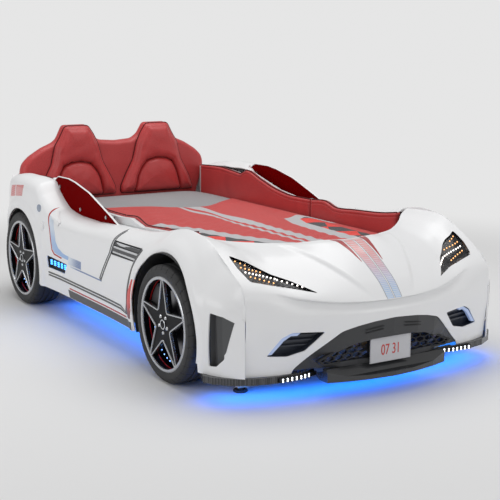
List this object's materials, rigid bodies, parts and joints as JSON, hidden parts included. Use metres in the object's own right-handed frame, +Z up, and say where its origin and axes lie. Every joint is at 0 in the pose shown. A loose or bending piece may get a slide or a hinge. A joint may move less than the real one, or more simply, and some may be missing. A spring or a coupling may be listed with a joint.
{
  "type": "car bed for children",
  "caption": "Child's single bed shaped as a low sports car: moulded body on a wooden slatted frame, padded headboard, mattress, lit lamps, fixed wheels.",
  "frame": {"origin": "on the floor under the middle of the bed's overall length and width", "axes": "+X to the nose (foot end), +Y to the sleeper's left, +Z up"},
  "size_m": [2.43, 1.286, 0.803],
  "materials": {
    "white_shell": "gloss white moulded plastic",
    "wood_board": "satin board",
    "slat_wood": "smooth bent plywood",
    "steel_fastener": "zinc plated",
    "foot_rubber": "matt",
    "dark_trim": "satin dark grey",
    "black_gloss": "piano black",
    "grey_trim": "satin grey",
    "plate_white": "satin",
    "lamp_glass": "smoked gloss",
    "lamp_chip": "lit lamp",
    "red_acrylic": "tinted gloss",
    "liner_black": "matt black",
    "tyre_black": "satin moulded plastic",
    "rim_black": "gloss black with silver edges",
    "disc_metal": "silver paint",
    "hub_chrome": "polished",
    "mattress_cover": "grey sheet",
    "spread_fabric": "red woven, with white and grey stripes",
    "red_leather": "red leatherette with dark seams",
    "box_plastic": "satin",
    "glow_channel": "lit diffuser"
  },
  "bodies": {
    "frame_and_body": {"arch_liners": "liner_black", "bed_slats": "slat_wood", "bedspread": "spread_fabric", "brake_calipers": "disc_metal", "brake_discs": "disc_metal", "centre_beam": "wood_board", "control_box": "box_plastic", "corner_intakes": "dark_trim", "diffuser_lip": "black_gloss", "door_handles": "white_shell", "fog_blades": "grey_trim", "fog_grilles": "dark_trim", "foot_board": "wood_board", "frame_bolts": "steel_fastener", "front_shell": "white_shell", "fuel_caps": "grey_trim", "grille_frame": "dark_trim", "grille_mesh": "black_gloss", "groove_trims": "grey_trim", "head_panel": "wood_board", "headboard_cushion": "red_leather", "headlamp_housings": "black_gloss", "headlamp_leds": "lamp_chip", "headlamp_lenses": "lamp_glass", "hub_caps": "hub_chrome", "legs": "wood_board", "lumbar_pads": "red_leather", "mattress": "mattress_cover", "number_plate": "plate_white", "rear_shell": "white_shell", "recess_lamps": "dark_trim", "seat_bolsters": "red_leather", "shell_battens": "slat_wood", "side_board_left": "wood_board", "side_board_right": "wood_board", "side_pads": "red_leather", "side_shell_left": "white_shell", "side_shell_right": "white_shell", "side_vents": "grey_trim", "sill_panels": "grey_trim", "slat_ledgers": "slat_wood", "splitter_lamps": "lamp_chip", "splitters": "black_gloss", "star_rims": "rim_black", "tyres": "tyre_black", "underglow_strips": "glow_channel", "window_left": "red_acrylic", "window_right": "red_acrylic", "window_studs": "hub_chrome"},
    "foot_rear_left_screw": {"foot_rear_left": "foot_rubber"},
    "foot_rear_right_screw": {"foot_rear_right": "foot_rubber"},
    "foot_front_left_screw": {"foot_front_left": "foot_rubber"},
    "foot_front_right_screw": {"foot_front_right": "foot_rubber"},
    "rocker": {"rocker_switch": "black_gloss"}
  },
  "joints": [
    {"name": "foot_rear_left_adjust", "type": "slide", "parent": "frame_and_body", "child": "foot_rear_left_screw", "axis": [0, 0, 1], "range_m": [-0.012, 0]},
    {"name": "foot_rear_right_adjust", "type": "slide", "parent": "frame_and_body", "child": "foot_rear_right_screw", "axis": [0, 0, 1], "range_m": [-0.012, 0]},
    {"name": "foot_front_left_adjust", "type": "slide", "parent": "frame_and_body", "child": "foot_front_left_screw", "axis": [0, 0, 1], "range_m": [-0.012, 0]},
    {"name": "foot_front_right_adjust", "type": "slide", "parent": "frame_and_body", "child": "foot_front_right_screw", "axis": [0, 0, 1], "range_m": [-0.012, 0]},
    {"name": "rocker_pivot", "type": "hinge", "parent": "frame_and_body", "child": "rocker", "pos_m": [0.16, 0.398, 0.19], "axis": [1, 0, 0], "range_deg": [0, 14]}
  ]
}
